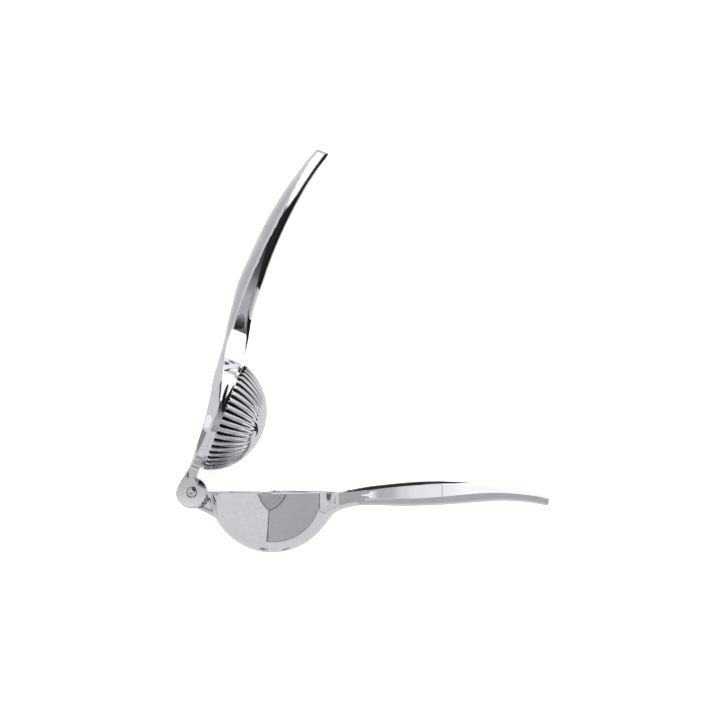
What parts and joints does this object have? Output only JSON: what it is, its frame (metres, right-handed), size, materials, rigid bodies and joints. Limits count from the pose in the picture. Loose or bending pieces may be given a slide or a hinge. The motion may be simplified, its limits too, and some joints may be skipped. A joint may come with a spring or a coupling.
{
  "type": "hinged lemon squeezer",
  "caption": "Hinged hand press for citrus: a fluted press cup on the upper lever closes into a pierced strainer bowl on the lower lever.",
  "frame": {"origin": "under the middle of the open squeezer as it lies on its side, at table level: the centre of the bounding box in X and Y, and its lowest point in Z", "axes": "+Z along the hinge pin, up from the table; +X along the bowl arm from the hinge to its handle tip; +Y across, towards the raised press arm"},
  "size_m": [0.2238, 0.2419, 0.0764],
  "materials": {
    "arm_chrome": "polished bright chrome plate over a light-alloy casting, with satin ground faces on the hinge ears",
    "pin_steel": "turned steel pin with a spun end"
  },
  "bodies": {
    "bowl_body": {"bowl_arm": "arm_chrome"},
    "press_body": {"press_arm": "arm_chrome", "hinge_pin": "pin_steel"}
  },
  "joints": [
    {"name": "arm_hinge", "type": "hinge", "parent": "bowl_body", "child": "press_body", "pos_m": [-0.10212, -0.08473, 0.0382], "axis": [0, 0, 1], "range_deg": [-68.2, 49]}
  ]
}
